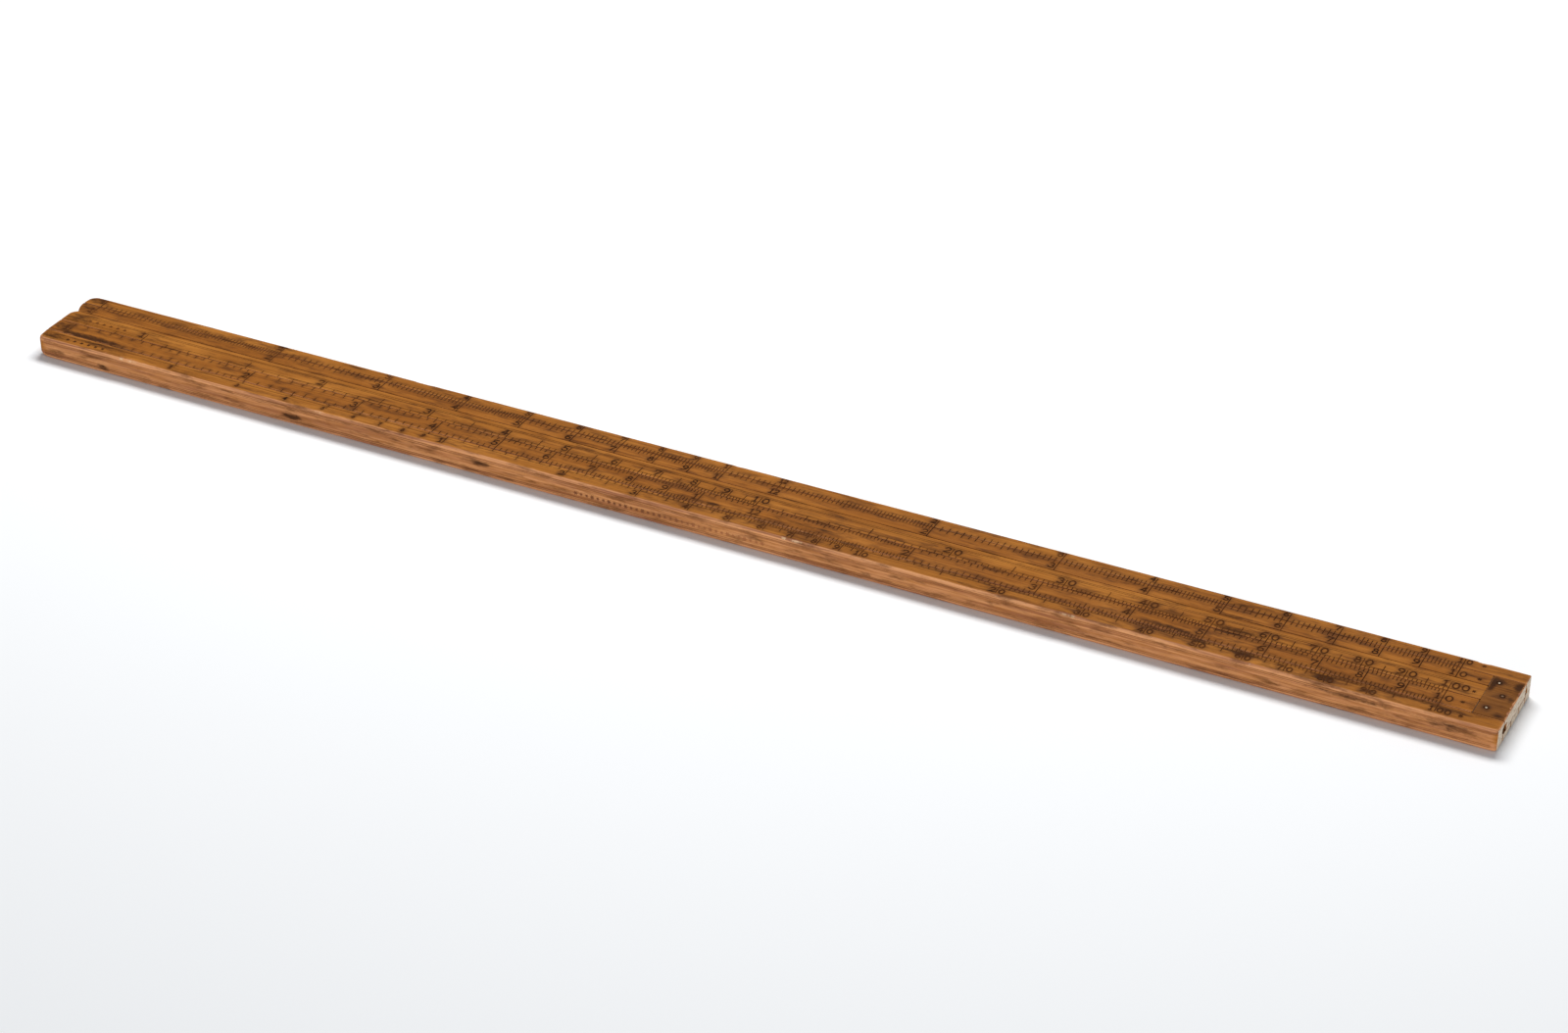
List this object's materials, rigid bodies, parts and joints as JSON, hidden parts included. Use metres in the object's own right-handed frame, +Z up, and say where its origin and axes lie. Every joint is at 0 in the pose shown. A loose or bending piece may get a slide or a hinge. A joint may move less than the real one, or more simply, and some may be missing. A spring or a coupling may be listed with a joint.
{
  "type": "slide rule",
  "caption": "Two-foot boxwood slide rule: a grooved stock built up from glued strips, with a narrow and a wide slide that pull out side by side, and a pinned bridge block closing one end.",
  "frame": {"origin": "on the surface that the rule lies on, under the middle of the rule", "axes": "+X along the rule to the end with the bridge block, +Y from the front edge to the back edge, +Z up out of the face with the slides"},
  "size_m": [0.6096, 0.0374, 0.0087],
  "materials": {
    "boxwood_rail": "worn, waxed boxwood with dark handling stains",
    "boxwood_floor": "bare planed boxwood",
    "boxwood_block": "dark, dirty boxwood",
    "boxwood_slide": "worn, waxed boxwood with dark handling stains",
    "pin_steel": "filed flush, rubbed bright"
  },
  "bodies": {
    "stock": {"front_rail": "boxwood_rail", "centre_rail": "boxwood_rail", "back_rail": "boxwood_rail", "narrow_groove_floor": "boxwood_floor", "wide_groove_floor": "boxwood_floor", "bridge_block": "boxwood_block", "narrow_side_pin": "pin_steel", "centre_pin": "pin_steel", "wide_side_pin": "pin_steel"},
    "narrow_slide": {"narrow_slide": "boxwood_slide"},
    "wide_slide": {"wide_slide": "boxwood_slide"}
  },
  "joints": [
    {"name": "narrow_slide_travel", "type": "slide", "parent": "stock", "child": "narrow_slide", "axis": [-1, 0, 0], "range_m": [0, 0.45]},
    {"name": "wide_slide_travel", "type": "slide", "parent": "stock", "child": "wide_slide", "axis": [-1, 0, 0], "range_m": [0, 0.45]}
  ]
}
